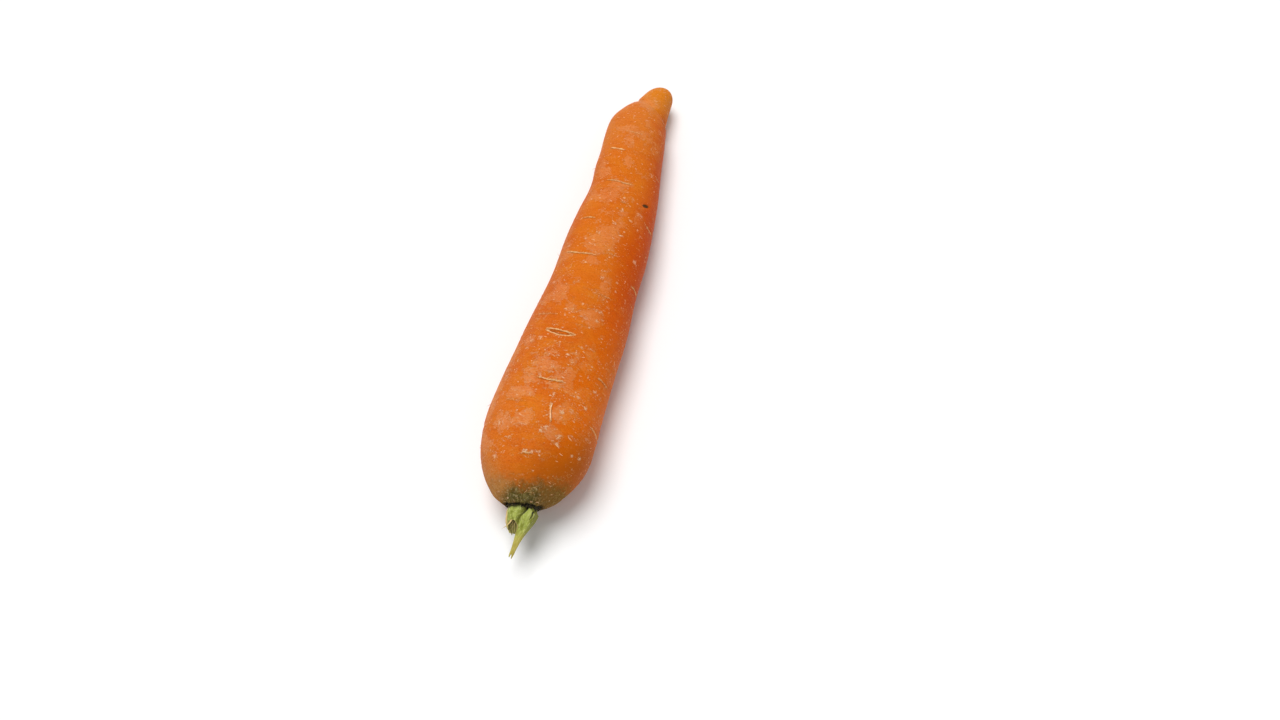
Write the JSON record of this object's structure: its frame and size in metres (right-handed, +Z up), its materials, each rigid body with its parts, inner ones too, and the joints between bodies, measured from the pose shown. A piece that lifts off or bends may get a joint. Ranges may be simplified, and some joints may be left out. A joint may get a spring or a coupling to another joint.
{
  "type": "carrot",
  "caption": "Whole fresh carrot lying on its side: tapering taproot with a green shoulder, dried leaf bases round the crown and torn leaf-stalk stubs.",
  "frame": {"origin": "middle of the carrot's footprint, on the surface it lies on", "axes": "+Z up, +Y from the crown to the tail tip, +X to the right seen from the crown's end"},
  "size_m": [0.0408, 0.2076, 0.0393],
  "materials": {
    "carrot_skin": "satin",
    "dried_scale": "matte",
    "green_stalk": "satin"
  },
  "bodies": {
    "root": {"root": "carrot_skin", "dry_scales": "dried_scale", "stalk_long": "green_stalk", "stalk_hollow": "green_stalk", "stalk_under": "green_stalk"}
  },
  "joints": []
}
